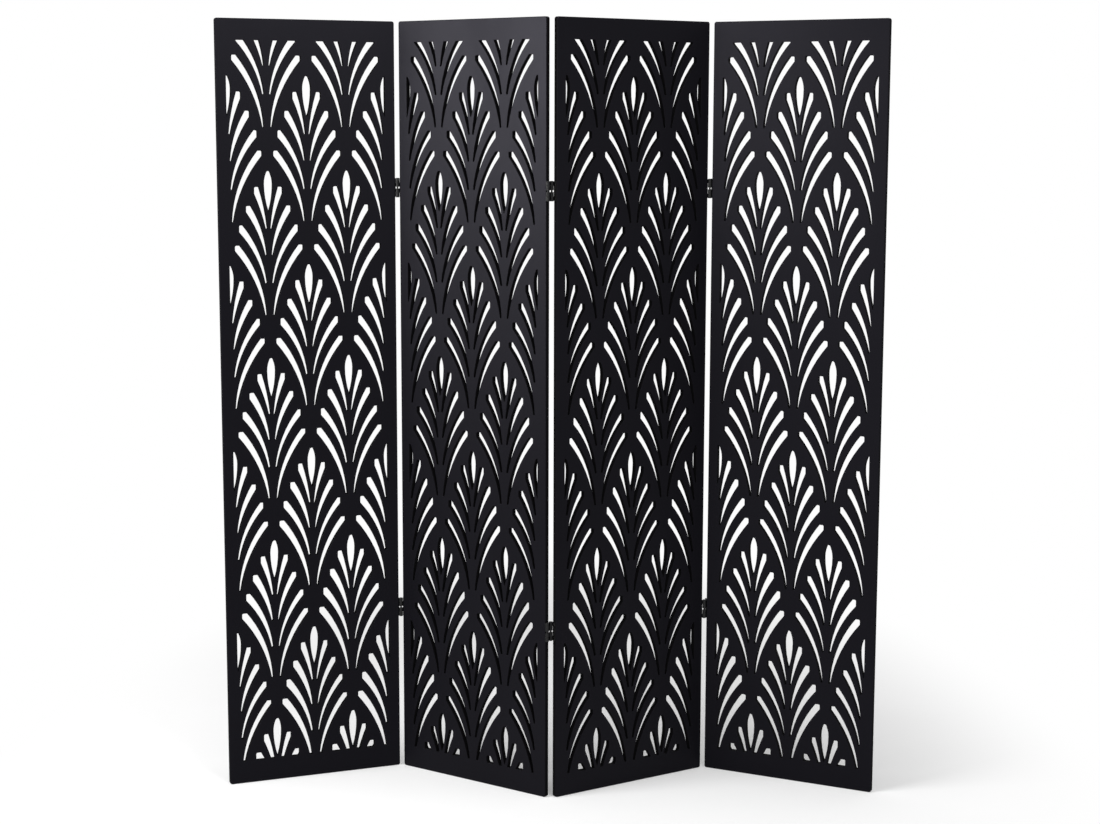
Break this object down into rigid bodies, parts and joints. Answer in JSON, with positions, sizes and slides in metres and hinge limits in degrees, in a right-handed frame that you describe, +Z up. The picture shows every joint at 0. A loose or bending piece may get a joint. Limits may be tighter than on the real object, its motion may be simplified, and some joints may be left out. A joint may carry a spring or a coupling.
{
  "type": "folding screen",
  "caption": "Free-standing zigzag folding screen of tall flat black boards pierced with a fan pattern, joined by small two-way hinges.",
  "frame": {"origin": "centre of the standing screen's footprint box, on the floor plane", "axes": "+Z up; fronts toward -Y; boards run from left (-X) to right (+X)"},
  "size_m": [1.4456, 0.2494, 1.7],
  "materials": {
    "painted_board": "black satin paint on fibreboard",
    "black_steel": "black powder coat",
    "pin_steel": "black oxide",
    "screw_steel": "black oxide"
  },
  "bodies": {
    "panel_1": {"panel_1": "painted_board", "hinge_12_upper_left_leaf": "black_steel", "hinge_12_upper_left_screws": "screw_steel", "hinge_12_lower_left_leaf": "black_steel", "hinge_12_lower_left_screws": "screw_steel"},
    "links_12": {"hinge_12_upper_link": "black_steel", "hinge_12_upper_front_pin": "pin_steel", "hinge_12_upper_back_pin": "pin_steel", "hinge_12_lower_link": "black_steel", "hinge_12_lower_front_pin": "pin_steel", "hinge_12_lower_back_pin": "pin_steel"},
    "panel_2": {"panel_2": "painted_board", "hinge_12_upper_right_leaf": "black_steel", "hinge_12_upper_right_screws": "screw_steel", "hinge_12_lower_right_leaf": "black_steel", "hinge_12_lower_right_screws": "screw_steel", "hinge_23_upper_left_leaf": "black_steel", "hinge_23_upper_left_screws": "screw_steel", "hinge_23_lower_left_leaf": "black_steel", "hinge_23_lower_left_screws": "screw_steel"},
    "links_23": {"hinge_23_upper_link": "black_steel", "hinge_23_upper_front_pin": "pin_steel", "hinge_23_upper_back_pin": "pin_steel", "hinge_23_lower_link": "black_steel", "hinge_23_lower_front_pin": "pin_steel", "hinge_23_lower_back_pin": "pin_steel"},
    "panel_3": {"panel_3": "painted_board", "hinge_23_upper_right_leaf": "black_steel", "hinge_23_upper_right_screws": "screw_steel", "hinge_23_lower_right_leaf": "black_steel", "hinge_23_lower_right_screws": "screw_steel", "hinge_34_upper_left_leaf": "black_steel", "hinge_34_upper_left_screws": "screw_steel", "hinge_34_lower_left_leaf": "black_steel", "hinge_34_lower_left_screws": "screw_steel"},
    "links_34": {"hinge_34_upper_link": "black_steel", "hinge_34_upper_front_pin": "pin_steel", "hinge_34_upper_back_pin": "pin_steel", "hinge_34_lower_link": "black_steel", "hinge_34_lower_front_pin": "pin_steel", "hinge_34_lower_back_pin": "pin_steel"},
    "panel_4": {"panel_4": "painted_board", "hinge_34_upper_right_leaf": "black_steel", "hinge_34_upper_right_screws": "screw_steel", "hinge_34_lower_right_leaf": "black_steel", "hinge_34_lower_right_screws": "screw_steel"}
  },
  "joints": [
    {"name": "fold_12_front", "type": "hinge", "parent": "links_12", "child": "panel_1", "pos_m": [-0.34386, 0.1089, 0], "axis": [0, 0, 1], "range_deg": [-56.4, 123.6]},
    {"name": "fold_12_back", "type": "hinge", "parent": "panel_2", "child": "links_12", "pos_m": [-0.33602, 0.1205, 0], "axis": [0, 0, -1], "range_deg": [0, 180]},
    {"name": "fold_23_front", "type": "hinge", "parent": "panel_2", "child": "links_23", "pos_m": [-0.0044, -0.1205, 0], "axis": [0, 0, -1], "range_deg": [0, 180]},
    {"name": "fold_23_back", "type": "hinge", "parent": "links_23", "child": "panel_3", "pos_m": [0.00344, -0.1089, 0], "axis": [0, 0, 1], "range_deg": [-67.5, 112.5]},
    {"name": "fold_34_front", "type": "hinge", "parent": "panel_3", "child": "links_34", "pos_m": [0.35299, 0.10525, 0], "axis": [0, 0, -1], "range_deg": [-59.2, 120.8]},
    {"name": "fold_34_back", "type": "hinge", "parent": "links_34", "child": "panel_4", "pos_m": [0.35907, 0.11786, 0], "axis": [0, 0, 1], "range_deg": [0, 180]}
  ]
}
